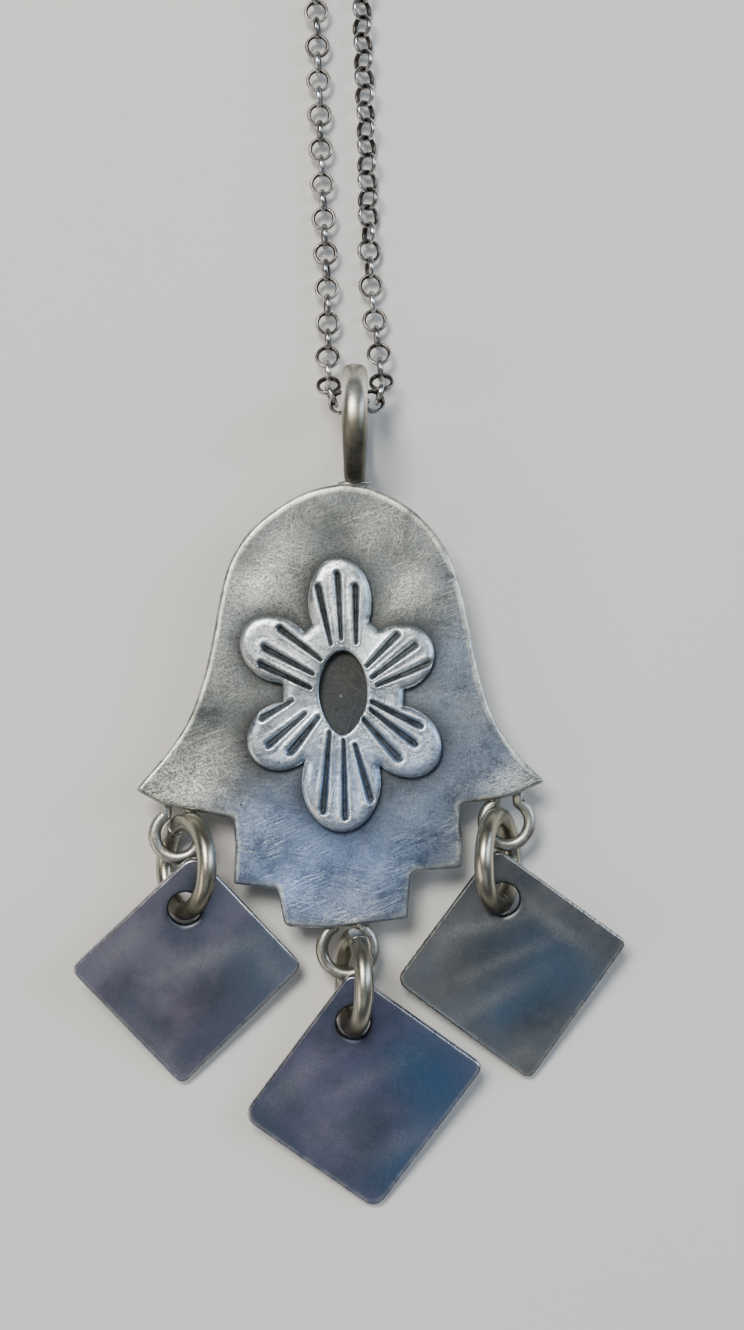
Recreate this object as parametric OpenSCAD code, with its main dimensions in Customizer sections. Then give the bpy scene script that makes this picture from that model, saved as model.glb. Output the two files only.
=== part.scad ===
// Hamsa pendant on a rolo chain, lying on a flat surface at z = 0.
// The hand lies in the XY plane with its bail and chain toward +Y and its front toward +Z.
// The origin is the middle of the whole footprint, on the surface.

/* [Hand plate] */
// Thickness of the hand's sheet
plate_t = 1.0; // [0.8:0.1:1.2]
// Angle that the lifted top of the hand makes with the surface
plate_tilt = 2.4; // [2.2:0.1:2.6]
// Height of the flower above the hand's face
flower_t = 0.9; // [0.6:0.1:1.2]
// Depth of the grooves struck into the petals
groove_d = 0.45; // [0.2:0.05:0.55]

/* [Bail and loops] */
// Outside diameter of the standing bail ring
bail_od = 9.7; // [9.3:0.1:10.0]
// Wire of the bail
bail_wire = 2.0; // [1.8:0.1:2.1]
// Outside diameter of the two side loops
side_loop_od = 4.6; // [4.5:0.1:4.8]
// Outside diameter of the middle loop
middle_loop_od = 5.0; // [4.8:0.1:5.2]
// Wire of the loops
loop_wire = 1.0; // [0.8:0.1:1.1]

/* [Jump rings] */
// Outside diameter of a jump ring
ring_od = 8.4; // [8.2:0.1:8.5]
// Wire of a jump ring
ring_wire = 1.5; // [1.4:0.1:1.6]

/* [Drops] */
// Thickness of a drop's sheet
drop_t = 0.8; // [0.6:0.1:0.9]
// Diameter of a drop's hole
drop_hole = 2.6; // [2.5:0.1:2.8]

/* [Chain] */
// Outside diameter of a round link
link_od = 2.06; // [2.0:0.02:2.06]
// Wire of a link
link_wire = 0.24; // [0.2:0.02:0.26]
// Free space between the wires of two joined links
link_gap = 0.14; // [0.12:0.02:0.16]
// Links on each side of the bail that are round links here
linked = 96; // [40:8:104]
// Links on each side of the bail in the whole chain
links_each_side = 155; // [155]

/* [Hidden] */
silver = [0.62, 0.61, 0.58];
bright_silver = [0.74, 0.74, 0.73];
dark_silver = [0.34, 0.34, 0.38];
$fn = 48;

// The hand's edge on the sheet, from the top down each side: u to the right, v up
left_side = [[0, 16.0], [-2.4, 15.5], [-4.8, 14.25], [-7.1, 12.35], [-8.7, 9.9], [-9.5, 7.1],
             [-10.0, 4.2], [-10.7, 1.0], [-11.8, -2.2], [-13.35, -4.75], [-15.5, -7.3]];
right_side = [[0, 16.0], [2.3, 15.65], [4.7, 14.55], [6.9, 12.7], [8.5, 10.2], [9.5, 7.2],
              [10.2, 3.8], [11.0, 0.2], [12.1, -2.7], [13.9, -5.3], [15.5, -6.9]];
// The stepped lower edge from the left wing tip to the right one: u, v, corner radius
lower_edge = [[-16.0, -7.95, 0.25], [-13.9, -9.1, 2], [-8.45, -10.15, 0.35], [-8.2, -12.2, 3],
              [-8.35, -15.2, 0.3], [-4.95, -15.6, 0.3], [-4.35, -18.5, 0.7], [-1.0, -18.65, 8],
              [5.2, -17.9, 0.3], [5.45, -14.3, 0.8], [9.35, -14.0, 0.4], [9.45, -12.2, 3],
              [9.2, -9.1, 0.5], [13.2, -8.45, 4], [15.85, -7.3, 0.25]];

// The flower's place on the sheet, and its petals: angle, tip radius, half length, half width
flower_at = [0.15, -0.4];
petals = [[92, 10.65, 3.55, 2.45], [32, 8.0, 2.7, 2.45], [-38.5, 9.2, 3.1, 2.6],
          [-91, 10.8, 3.9, 3.05], [-144.5, 8.7, 2.9, 2.55], [147, 9.25, 3.05, 2.45]];
// The flower's oval middle: half width, half height
hub = [4.75, 6.15];
blend = 14;
// The eye-shaped opening: half width, half height, roundness of its upper and lower halves
eye = [1.85, 3.25, 2.0, 1.7];
// Struck grooves on the sheet: outer u, v, inner u, v, width
grooves = [[-1.8, 7.8, -0.8, 3.4, 0.5], [-0.3, 8.8, 0, 3.8, 0.45], [1.1, 7.8, 1.15, 3.5, 0.5],
           [4.3, 4.1, 2.0, 1.7, 0.5], [5.7, 3.3, 2.4, 0.8, 0.5], [6.8, 1.9, 2.8, 0.2, 0.5],
           [6.1, -2.9, 2.4, -1.1, 0.5], [5.7, -4.3, 2.3, -1.7, 0.5], [4.4, -5.4, 1.8, -2.5, 0.65],
           [-1.4, -9.5, -0.9, -3.5, 0.5], [0.3, -10.0, 0.2, -4.1, 0.45], [2.3, -8.6, 1.1, -4.5, 0.6],
           [-6.1, -2.3, -3.8, -1.0, 0.5], [-5.6, -4.4, -2.8, -2.0, 0.5], [-3.9, -4.9, -1.8, -2.3, 0.6],
           [-4.7, 4.6, -1.6, 2.2, 0.5], [-5.9, 3.1, -2.2, 1.1, 0.5], [-6.2, 1.8, -2.4, 0, 0.5]];

// The bail's place across the sheet and along the surface
bail_u = 1.05;
bail_y = 20.6;
// Centres of the loops on the sheet: u, v, outside diameter
loops = [[-12.8, -11.45, side_loop_od], [12.95, -10.45, side_loop_od], [0.5, -20.3, middle_loop_od]];
// How far their legs run up behind the sheet, and how deep they are sunk into its back
leg_l = 3.4;
loop_sink = 0.2;

// Jump rings: centre x, y and lean to the right
ring_left = [-12.06, -13.81, 33];
ring_right = [12.16, -13.38, -21.5];
ring_middle = [0.97, -22.74, 14];

// Drops: hole x, y, z and roll to the right, then corners from the top one clockwise: u, v, radius
drop_left_at = [-12.08, -17.02, 3.7, 5.2];
drop_left_edge = [[0.7, 4.45, 1.1], [9.25, -4.65, 0.5], [-0.1, -14.35, 0.5], [-8.85, -4.85, 0.5]];
drop_right_at = [12.58, -16.34, 2.9, -0.8];
drop_right_edge = [[-0.6, 4.1, 0.8], [9.8, -3.4, 0.5], [2.15, -14.5, 0.5], [-8.45, -6.5, 0.8]];
drop_middle_at = [0.96, -25.81, 2.87, -0.5];
drop_middle_edge = [[-0.2, 4.0, 0.7], [10.2, -3.5, 0.5], [1.75, -14.95, 1.0], [-8.75, -7.5, 1.0]];

// The chain's route: distance along a strand from the bail, then heading from +Y toward +X
right_turns = [[0, 90], [1, 84], [1.6, 54], [2.8, 16], [4.2, -3], [10, -8], [16, -1], [34, -2.4],
               [72, 35], [125, 35], [223, -90]];
left_turns = [[0, -90], [1, -90], [1.6, -66], [2.8, -26], [4.2, -4], [8, 0], [16, -3], [34, -1.5],
              [72, -35], [125, -35], [223, 90]];
// Where it passes through the bail, how far it climbs there and over what length
chain_start = [1.22, 22.55];
chain_rise = 3.5;
rise_span = 4.8;
// How much closer joined links sit in a sharp bend
bend_room = 1.2;
// The right strand's links roll half way over beyond the first few: distance, angle
right_roll = [[13, 0], [20, 45], [60, 45], [80, 0]];

// The barrel clasp: length of the barrel, its diameter, its end rings' diameter and wire
clasp_l = 7.5;
clasp_d = 2.6;
clasp_ring_od = 2.6;
clasp_ring_wire = 0.5;
clasp_edge = 0.4;

// The tube that stands for the rest of the chain: its sides, and links from one ring to the next
tube_sides = 8;
tube_step = 4;

// How far a groove narrows at its outer and inner end, and how wide its inner end is
groove_point = 0.3;
groove_tail = 0.4;
groove_tail_width = 0.7;
// How deep a raised form is sunk into what carries it
sunk = 0.1;
// The most of a side that the rounding of one corner uses
corner_share = 0.45;

// Derived sizes
mean_link_r = (link_od - link_wire) / 2;
pitch = 2 * mean_link_r - link_wire - link_gap;
bail_z = bail_od / 2;
plate_z = bail_z - bail_y * tan(plate_tilt);
face = plate_t / 2;

// A smooth curve through a list of points, a few steps to each
function spline(a, b, c, d, t) =
    0.5 * (2 * b + (c - a) * t + (2 * a - 5 * b + 4 * c - d) * t * t
           + (3 * b - a - 3 * c + d) * t * t * t);
function smooth(points, steps) = let (n = len(points) - 1) concat(
    [for (i = [0:n - 1]) for (k = [0:steps - 1])
        spline(points[max(i - 1, 0)], points[i], points[i + 1], points[min(i + 2, n)], k / steps)],
    [points[n]]);

// One corner of an outline, rounded to its radius with a short arc
function unit(v) = v / norm(v);
function corner(a, b, c, r, steps = 6) =
    let (p = unit(a - b), q = unit(c - b), half = acos(p * q) / 2,
         run = min(r / tan(half), corner_share * norm(a - b), corner_share * norm(c - b)),
         s = b + p * run, e = b + q * run)
    [for (k = [0:steps]) let (t = k / steps) (1 - t) * (1 - t) * s + 2 * t * (1 - t) * b + t * t * e];
function flat(row) = [row[0], row[1]];
function rounded(table) = let (n = len(table)) [for (i = [0:n - 1]) each
    corner(flat(table[(i + n - 1) % n]), flat(table[i]), flat(table[(i + 1) % n]), table[i][2])];

// The hand's whole edge, anticlockwise from the top
function lower_corners() = let (n = len(lower_edge), whole = concat(
        [left_side[len(left_side) - 1]], lower_edge, [right_side[len(right_side) - 1]]))
    [for (i = [1:n]) each corner(flat(whole[i - 1]), flat(whole[i]), flat(whole[i + 1]), lower_edge[i - 1][2])];
function hand_edge() = let (left = smooth(left_side, 4), right = smooth(right_side, 4)) concat(
    left, lower_corners(), [for (i = [len(right) - 1:-1:1]) right[i]]);

// The sum of a list is its product with a list of ones
function sum(list) = list * [for (value = list) 1];

// Radius of one petal's ellipse, and of the whole flower, at an angle
function petal_r(row, angle) =
    let (d = angle - row[0], c = row[1] - row[2], a2 = row[2] * row[2], b2 = row[3] * row[3],
         A = cos(d) * cos(d) / a2 + sin(d) * sin(d) / b2, B = c * cos(d) / a2, C = c * c / a2 - 1,
         disc = B * B - A * C)
    disc > 0 && cos(d) > 0 ? (B + sqrt(disc)) / A : 0;
function hub_r(angle) = 1 / norm([cos(angle) / hub[0], sin(angle) / hub[1]]);
function flower_r(angle) = pow(pow(hub_r(angle), blend)
    + sum([for (row = petals) pow(petal_r(row, angle), blend)]), 1 / blend);
function eye_r(angle) = let (n = sin(angle) > 0 ? eye[2] : eye[3])
    pow(pow(abs(cos(angle)) / eye[0], n) + pow(abs(sin(angle)) / eye[1], n), -1 / n);

// Heading, height and direction of the chain at a distance from the bail
function height(s) = link_od / 2 + chain_rise * exp(-pow(s / rise_span, 2));
function direction(turns, s) =
    let (h = lookup(s, turns), e = asin((height(s + pitch / 2) - height(s - pitch / 2)) / pitch))
    [sin(h) * cos(e), cos(h) * cos(e), sin(e)];
// The step from link i to the next: a bend brings two joined links closer together
function link_step(turns, i) =
    let (s = i * pitch, bend = sqrt((1 + direction(turns, s) * direction(turns, s + pitch)) / 2),
         d = 2 * mean_link_r * bend - link_wire - link_gap - bend_room * (1 - bend),
         dz = height(s + pitch) - height(s), h = lookup(s + pitch / 2, turns),
         run = sqrt(d * d - dz * dz))
    [run * sin(h), run * cos(h), dz];
function strand(turns) = [for (i = 0, p = [chain_start.x, chain_start.y, height(0)]; i <= links_each_side;
    p = p + link_step(turns, i), i = i + 1) p];
left_strand = strand(left_turns);
right_strand = strand(right_turns);
left_end = left_strand[links_each_side];
right_end = right_strand[links_each_side];
clasp_at = (left_end + right_end) / 2;
clasp_turn = atan((right_end - left_end).y / (right_end - left_end).x);

// How steeply a drop leans from its hole down to its bottom corner, which rests on the surface
function column(list, k) = [for (p = list) p[k]];
function drop_reach(edge) = -min(column(rounded(edge), 1));
function drop_tilt(at, edge) =
    let (reach = drop_reach(edge), foot = [for (p = rounded(edge)) if (p.y < sunk / 100 - reach) p][0])
    asin((at.z - foot.x * sin(at[3])) / cos(at[3]) / norm([reach, drop_t / 2])) - atan(drop_t / 2 / reach);

// The footprint's middle
middle_tilt = drop_tilt(drop_middle_at, drop_middle_edge);
lowest_y = drop_middle_at.y - drop_reach(drop_middle_edge) * cos(middle_tilt) - drop_t / 2 * sin(middle_tilt);
x_low = min(column(left_strand, 0)) - link_od / 2;
x_high = max(column(right_strand, 0)) + link_od / 2;
y_high = max(concat(column(left_strand, 1), [clasp_at.y + clasp_d / 2 - link_od / 2])) + link_od / 2;
middle = [(x_low + x_high) / 2, (lowest_y + y_high) / 2, 0];

module laid() {
    translate(-middle) children();
}

module on_sheet() {
    laid() translate([0, 0, plate_z]) rotate([plate_tilt, 0, 0]) children();
}

module wire_ring(od, wire) {
    rotate_extrude() translate([(od - wire) / 2, 0]) circle(d = wire);
}

module flower() {
    angles = [for (a = [0:3:357]) a];
    difference() {
        translate([0, 0, face - sunk]) linear_extrude(flower_t + sunk)
            polygon([for (a = angles) flower_r(a) * [cos(a), sin(a)]]);
        linear_extrude(2 * flower_t + plate_t)
            polygon([for (a = [0:6:354]) eye_r(a) * [cos(a), sin(a)]]);
    }
}

module groove(row) {
    outer = [row[0], row[1]];
    inner = [row[2], row[3]];
    along = unit(outer - inner);
    across = [-along.y, along.x] * row[4] / 2;
    translate([0, 0, face + flower_t - groove_d]) linear_extrude(flower_t)
        polygon([inner, inner + along * groove_tail + across * groove_tail_width,
                 outer - along * groove_point + across, outer, outer - along * groove_point - across,
                 inner + along * groove_tail - across * groove_tail_width]);
}

// A wire loop whose two legs run up behind the sheet
module wire_loop(row) {
    r = (row[2] - loop_wire) / 2;
    translate([row[0], row[1], loop_sink - face - loop_wire / 2]) {
        rotate([0, 0, 180]) rotate_extrude(angle = 180) translate([r, 0]) circle(d = loop_wire);
        for (side = [-1, 1]) translate([side * r, 0, 0]) rotate([-90, 0, 0]) cylinder(d = loop_wire, h = leg_l);
    }
}

module hand_plate() {
    color(silver) on_sheet() difference() {
        union() {
            translate([0, 0, -face]) linear_extrude(plate_t) polygon(hand_edge());
            translate(flower_at) flower();
            translate([bail_u, bail_y / cos(plate_tilt), 0]) rotate([0, 90, 0]) wire_ring(bail_od, bail_wire);
            for (row = loops) wire_loop(row);
        }
        for (row = grooves) groove(row);
    }
}

module jump_ring(place) {
    lift = (ring_od - ring_wire) / 2 * cos(place[2]) + ring_wire / 2;
    color(bright_silver) laid() translate([place[0], place[1], lift])
        rotate([0, 90 + place[2], 0]) wire_ring(ring_od, ring_wire);
}

module drop(at, edge) {
    outline = rounded(edge);
    tilt = drop_tilt(at, edge);
    lowest = min([for (p = outline)
        cos(at[3]) * (p.y * sin(tilt) - drop_t / 2 * cos(tilt)) - p.x * sin(at[3])]);
    color(dark_silver) laid() translate([at.x, at.y, -lowest]) rotate([tilt, at[3], 0]) difference() {
        translate([0, 0, -drop_t / 2]) linear_extrude(drop_t) polygon(outline);
        cylinder(d = drop_hole, h = 2 * drop_t, center = true);
    }
}

module link(p, turns, i, roll) {
    s = i * pitch;
    e = asin((height(s + pitch / 2) - height(s - pitch / 2)) / pitch);
    translate(p) rotate([0, 0, 90 - lookup(s, turns)]) rotate([0, -e, 0])
        rotate([90 * ((i + 1) % 2) + roll, 0, 0]) wire_ring(link_od, link_wire, $fn = 16);
}

module chain_links() {
    color(dark_silver) laid() {
        for (i = [0:linked]) link(right_strand[i], right_turns, i, lookup(i * pitch, right_roll));
        for (i = [1:linked]) link(left_strand[i], left_turns, i, 0);
    }
}

// A tube through every few places of a strand, from the last round link to the clasp
module strand_tube(strand, turns) {
    rings = concat([for (i = [linked + 1:tube_step:links_each_side - 2]) i], [links_each_side]);
    r = link_od / 2;
    points = [for (i = rings) let (h = lookup(i * pitch, turns)) for (k = [0:tube_sides - 1])
        let (a = 360 * k / tube_sides) strand[i] + r * [cos(a) * cos(h), -cos(a) * sin(h), sin(a)]];
    sides = [for (j = [0:len(rings) - 2]) for (k = [0:tube_sides - 1])
        let (m = (k + 1) % tube_sides, a = j * tube_sides) [a + k, a + m, a + m + tube_sides, a + k + tube_sides]];
    ends = [[for (k = [tube_sides - 1:-1:0]) k], [for (k = [0:tube_sides - 1]) (len(rings) - 1) * tube_sides + k]];
    polyhedron(points, concat(sides, ends));
}

module chain_back() {
    color(dark_silver) laid() {
        strand_tube(right_strand, right_turns);
        strand_tube(left_strand, left_turns);
    }
}

module clasp() {
    half = clasp_l / 2;
    ring_x = half + clasp_ring_od / 2 - clasp_ring_wire / 2;
    color(silver) laid() translate([clasp_at.x, clasp_at.y, clasp_d / 2]) rotate([0, 0, clasp_turn]) {
        rotate([0, 90, 0]) rotate_extrude()
            polygon([[0, -half], [clasp_d / 2 - clasp_edge, -half], [clasp_d / 2, clasp_edge - half],
                     [clasp_d / 2, half - clasp_edge], [clasp_d / 2 - clasp_edge, half], [0, half]]);
        for (side = [-1, 1]) translate([side * ring_x, 0, 0]) wire_ring(clasp_ring_od, clasp_ring_wire);
    }
}

hand_plate();
jump_ring(ring_left);  // jump_ring_left
jump_ring(ring_right);  // jump_ring_right
jump_ring(ring_middle);  // jump_ring_middle
drop(drop_left_at, drop_left_edge);  // drop_left
drop(drop_right_at, drop_right_edge);  // drop_right
drop(drop_middle_at, drop_middle_edge);  // drop_middle
chain_links();
chain_back();
clasp();
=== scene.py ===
# Hamsa pendant on a rolo chain: its looks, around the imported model, in metres
import bpy
import numpy as np
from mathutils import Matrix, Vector


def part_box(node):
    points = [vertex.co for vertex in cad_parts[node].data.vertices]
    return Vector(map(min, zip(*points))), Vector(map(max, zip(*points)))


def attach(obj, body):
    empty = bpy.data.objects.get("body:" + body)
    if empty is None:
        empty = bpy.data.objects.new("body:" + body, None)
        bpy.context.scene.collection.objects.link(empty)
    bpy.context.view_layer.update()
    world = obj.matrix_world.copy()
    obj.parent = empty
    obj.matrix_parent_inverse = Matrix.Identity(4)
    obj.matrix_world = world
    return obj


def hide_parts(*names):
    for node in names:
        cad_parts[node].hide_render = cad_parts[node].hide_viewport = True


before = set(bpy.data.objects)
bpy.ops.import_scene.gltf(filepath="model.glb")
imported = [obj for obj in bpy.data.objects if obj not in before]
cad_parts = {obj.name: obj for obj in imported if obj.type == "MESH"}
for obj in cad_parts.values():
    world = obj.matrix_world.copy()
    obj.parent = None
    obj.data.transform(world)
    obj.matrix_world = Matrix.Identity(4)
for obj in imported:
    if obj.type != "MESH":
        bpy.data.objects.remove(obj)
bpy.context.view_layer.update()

print("frame loaded with", len(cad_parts), "parts")


# Small maths, angles in degrees
def sinD(angle):
    return np.sin(np.radians(angle))


def cosD(angle):
    return np.cos(np.radians(angle))


def ray(angle):  # the direction at an angle, as u and v
    return np.stack([cosD(angle), sinD(angle)], -1)


def fullTurn(count):  # equal steps round a circle
    return np.linspace(0, 360, count, endpoint=False)


def unit(vectors):
    return vectors / np.linalg.norm(vectors, axis=-1, keepdims=True)


def smoothStep(low, high, values):  # 0 below low, 1 above high, an S between them
    t = np.clip((values - low) / (high - low), 0, 1)
    return t * t * (3 - 2 * t)


# The tables below are millimetres on the layout, whose middle is found from the middle ring's place
middleRing = {"x": 0.97, "y": -22.74, "lean": 14, "seam": 121}
ringLow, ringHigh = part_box("jump_ring_middle")
layoutMiddle = np.array([middleRing["x"] - 500 * (ringLow.x + ringHigh.x),
                         middleRing["y"] - 500 * (ringLow.y + ringHigh.y), 0])


def toFrame(points):  # layout millimetres to metres in the row's frame
    return (points - layoutMiddle) * 0.001


# Meshes from grids: rows of rings, each ring closed on itself
def gridFaces(rows, columns, loopRows):
    # a quad between each two neighbours along a ring and the same two on the next ring
    r = np.arange(rows if loopRows else rows - 1)[:, None]
    c = np.arange(columns)[None, :]
    nextR = (r + 1) % rows
    nextC = (c + 1) % columns
    quads = [r * columns + c, r * columns + nextC, nextR * columns + nextC, nextR * columns + c]
    return np.stack(quads, -1).reshape(-1, 4)


def capFaces(columns, firstOfRing, pole):
    # a fan of triangles from a ring to the point in its middle, written as quads with a doubled corner
    c = np.arange(columns)
    nextC = (c + 1) % columns
    poles = np.full(columns, pole)
    return np.stack([firstOfRing + c, poles, poles, firstOfRing + nextC], -1)


def skin(rings, loopRows=False):
    # rings is rows x columns x 3; open ends are closed by a fan to the mean of the end ring
    rows, columns = rings.shape[:2]
    points = rings.reshape(-1, 3)
    faces = gridFaces(rows, columns, loopRows)
    if not loopRows:
        count = rows * columns
        points = np.vstack([points, rings[0].mean(0), rings[-1].mean(0)])
        lastCap = capFaces(columns, (rows - 1) * columns, count + 1)[:, ::-1]
        faces = np.vstack([faces, capFaces(columns, 0, count), lastCap])
    corners = points[faces]
    away = (corners * np.cross(np.roll(corners, -1, 1), np.roll(corners, -2, 1))).sum()
    return (points, faces if away > 0 else faces[:, ::-1])


def addObject(name, data):
    made = bpy.data.objects.new(name, data)
    bpy.context.scene.collection.objects.link(made)
    return made


def makePiece(name, skins, material, node, marks=None):
    # all skins become one mesh; marks are named values for its points, 0 for those left over at the end
    firsts = np.cumsum([0] + [len(part[0]) for part in skins])
    points = np.vstack([part[0] for part in skins])
    faces = np.vstack([part[1] + first for part, first in zip(skins, firsts)])
    isFan = faces[:, 1] == faces[:, 2]
    triangles = faces[isFan][:, [0, 1, 3]]
    quads = faces[~isFan]
    corners = np.concatenate([quads.ravel(), triangles.ravel()])
    sizes = np.concatenate([np.full(len(quads), 4), np.full(len(triangles), 3)])
    mesh = bpy.data.meshes.new(name)
    mesh.vertices.add(len(points))
    mesh.vertices.foreach_set("co", toFrame(points).ravel())
    mesh.loops.add(len(corners))
    mesh.loops.foreach_set("vertex_index", corners)
    mesh.polygons.add(len(sizes))
    mesh.polygons.foreach_set("loop_start", np.cumsum(sizes) - sizes)
    mesh.update(calc_edges=True)
    mesh.validate()
    mesh.shade_smooth()
    for mark, values in (marks or {}).items():
        padded = np.append(values, np.zeros(len(points) - np.size(values)))
        attribute = mesh.attributes.new(mark, "FLOAT", "POINT")
        attribute.data.foreach_set("value", padded.astype(np.float32))
    mesh.materials.append(material)
    piece = addObject(name, mesh)
    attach(piece, "root")
    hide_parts(node)
    print("made", name, "with", len(mesh.polygons), "faces")


# Finishes: every silver is the same set of layers with its own amounts
def addNode(tree, kind, settings=None, **inputs):
    made = tree.nodes.new("ShaderNode" + kind)
    for key, value in (settings or {}).items():
        setattr(made, key, value)
    for key, value in inputs.items():
        connect(tree, value, made.inputs[key.replace("_", " ")])
    return made


def connect(tree, value, socket):
    if isinstance(value, bpy.types.NodeSocket):
        tree.links.new(value, socket)
    else:
        socket.default_value = value


def maths(tree, operation, first, second=0.0, clamp=False):
    made = tree.nodes.new("ShaderNodeMath")
    made.operation = operation
    made.use_clamp = clamp
    connect(tree, first, made.inputs[0])
    connect(tree, second, made.inputs[1])
    return made.outputs[0]


def times(tree, first, second):
    return maths(tree, "MULTIPLY", first, second)


def mixed(tree, amount, first, second):
    made = tree.nodes.new("ShaderNodeMix")
    made.data_type = "RGBA"
    connect(tree, amount, made.inputs[0])
    connect(tree, first, made.inputs[6])
    connect(tree, second, made.inputs[7])
    return made.outputs[2]


def spread(tree, value, low, high, toLow=0.0, toHigh=1.0):  # low..high becomes toLow..toHigh
    made = tree.nodes.new("ShaderNodeMapRange")
    made.clamp = True
    made.interpolation_type = "SMOOTHSTEP"
    for socket, given in zip(made.inputs[:5], (value, low, high, toLow, toHigh)):
        connect(tree, given, socket)
    return made.outputs[0]


def newMaterial(name):  # its nodes, its shader and the object's own coordinates come with it
    material = bpy.data.materials.new(name)
    material.use_nodes = True
    tree = material.node_tree
    place = addNode(tree, "TexCoord").outputs["Object"]
    return material, tree, tree.nodes["Principled BSDF"], place


def cloud(tree, place, size, detail=4.0, roughness=0.55, shift=0.0):
    # noise with cells about size mm wide; another shift gives another pattern
    moved = addNode(tree, "Mapping", Vector=place, Location=(shift, -0.7 * shift, 0.4 * shift))
    made = addNode(tree, "TexNoise", Vector=moved.outputs[0], Scale=1000 / size, Detail=detail,
                   Roughness=roughness)
    return made.outputs[0]


# Sizes in mm and shares, then the noise values between which each layer comes in
layers = {
    "gritSize": 0.3, "sandSize": 0.17, "patchSize": 3.5, "finer": 7, "lineWidth": 0.03,
    "pitBlack": 0.35, "leastRim": 0.3, "leastPatinaShade": 0.8, "recessDull": 0.25, "rimGloss": 0.1,
    "patches": (0.44, 0.6), "pits": (0.63, 0.68), "clouds": (0.38, 0.62), "coolReflection": (0.5, 0.66),
    "rubbingAndSheen": (0.36, 0.64), "grain": (0.62, 0.38), "rim": (0.35, 0.62), "patinaShadeAmount": (0.25, 0.6),
    "dullness": (0.3, 0.7),
}


def scratches(tree, place, look, angle, shift):
    # the thin line where a long stretched noise passes its middle value, kept in patches
    rotated = addNode(tree, "Mapping", Vector=place, Rotation=(0, 0, np.radians(angle)),
                      Location=(shift, 0, 0))
    pulled = addNode(tree, "Mapping", Vector=rotated.outputs[0], Scale=(1, 1 / look["scratchStretch"], 1))
    noise = addNode(tree, "TexNoise", Vector=pulled.outputs[0], Scale=1000 / look["scratchWidth"],
                    Detail=2.0)
    offMiddle = maths(tree, "ABSOLUTE", maths(tree, "SUBTRACT", noise.outputs[0], 0.5))
    line = spread(tree, offMiddle, 0.0, layers["lineWidth"], 1.0, 0.0)
    patches = spread(tree, cloud(tree, place, layers["patchSize"], shift=shift), *layers["patches"])
    return times(tree, line, patches)


def silverFinish(name, look):
    # tone: clouds between mid and dark, bright patches of wear and painted highlight, bright rims of wear
    # and painted highlight, painted cool reflection patches, hollows blackened by patina and painted shade
    material, tree, shader, place = newMaterial(name)
    mark = {key: addNode(tree, "Attribute", {"attribute_name": key}).outputs["Fac"]
            for key in ("wearAndHighlight", "coolReflection", "patinaAndShade", "rim")}
    shift = look["shift"]
    big = cloud(tree, place, look["cloudSize"], shift=shift)
    fine = cloud(tree, place, look["cloudSize"] / layers["finer"], detail=6.0, roughness=0.65,
                 shift=shift + 0.3)
    grit = cloud(tree, place, layers["gritSize"], detail=3.0, roughness=0.7, shift=shift)
    sand = cloud(tree, place, layers["sandSize"], detail=2.0, roughness=0.6, shift=shift + 0.2)

    lines = [scratches(tree, place, look, angle, 0.1 + 0.07 * k)
             for k, angle in enumerate(look["scratchAngles"])]
    scratched = lines[0]
    for line in lines[1:]:
        scratched = maths(tree, "MAXIMUM", scratched, line)
    pitLow, pitHigh = layers["pits"]
    pits = spread(tree, grit, pitLow - look["pitShare"], pitHigh - look["pitShare"])

    fineShare = look["fineShare"]
    both = maths(tree, "ADD", times(tree, big, 1 - fineShare), times(tree, fine, fineShare))
    colour = mixed(tree, spread(tree, both, *layers["clouds"]), look["dark"], look["mid"])
    # the painted cool reflection: a blue tint in clouds and where marked
    coolReflectionClouds = spread(tree, big, *layers["coolReflection"], 0.0, look["coolReflectionClouds"])
    # brightness of the patches of wear and painted highlight
    leastRub, mostRub, scratchRub = look["rubbingAndSheen"]
    wearAndSheen = maths(tree, "ADD", spread(tree, sand, *layers["rubbingAndSheen"], leastRub, mostRub),
                   times(tree, scratched, scratchRub), True)
    grain = spread(tree, sand, *layers["grain"], 0.0, look["grain"])
    leastShine = layers["leastRim"] * look["rimShine"]
    # rims bright with wear and a painted highlight
    rimWearAndSheen = times(tree, mark["rim"], spread(tree, fine, *layers["rim"], leastShine, look["rimShine"]))
    # noise that thins the blackening of hollows, which is patina and painted shade
    patinaShadeAmount = spread(tree, fine, *layers["patinaShadeAmount"], 1.0, layers["leastPatinaShade"])
    coats = [["coolReflection", maths(tree, "ADD", mark["coolReflection"], coolReflectionClouds, True)],
             ["bright", times(tree, mark["wearAndHighlight"], wearAndSheen)],
             ["bright", times(tree, scratched, look["scratchShine"])],
             ["black", maths(tree, "MAXIMUM", times(tree, pits, layers["pitBlack"]), grain)],
             ["bright", rimWearAndSheen], ["black", times(tree, mark["patinaAndShade"], patinaShadeAmount)]]
    for tone, amount in coats:
        colour = mixed(tree, amount, colour, look[tone])
    tree.links.new(colour, shader.inputs["Base Color"])

    dullness = spread(tree, fine, *layers["dullness"], *look["roughness"])
    dullness = maths(tree, "ADD", dullness, times(tree, mark["patinaAndShade"], layers["recessDull"]))
    dullness = maths(tree, "SUBTRACT", dullness, times(tree, rimWearAndSheen, layers["rimGloss"]), True)
    tree.links.new(dullness, shader.inputs["Roughness"])

    height = times(tree, grit, look["gritDepth"])
    height = maths(tree, "SUBTRACT", height, times(tree, scratched, look["scratchDepth"]))
    height = maths(tree, "SUBTRACT", height, times(tree, pits, look["pitDepth"]))
    height = maths(tree, "ADD", height, times(tree, fine, look["waveDepth"]))
    bump = addNode(tree, "Bump", Height=height, Strength=1.0, Distance=0.001)
    tree.links.new(bump.outputs[0], shader.inputs["Normal"])
    shader.inputs["Metallic"].default_value = 1.0
    return material
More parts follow.
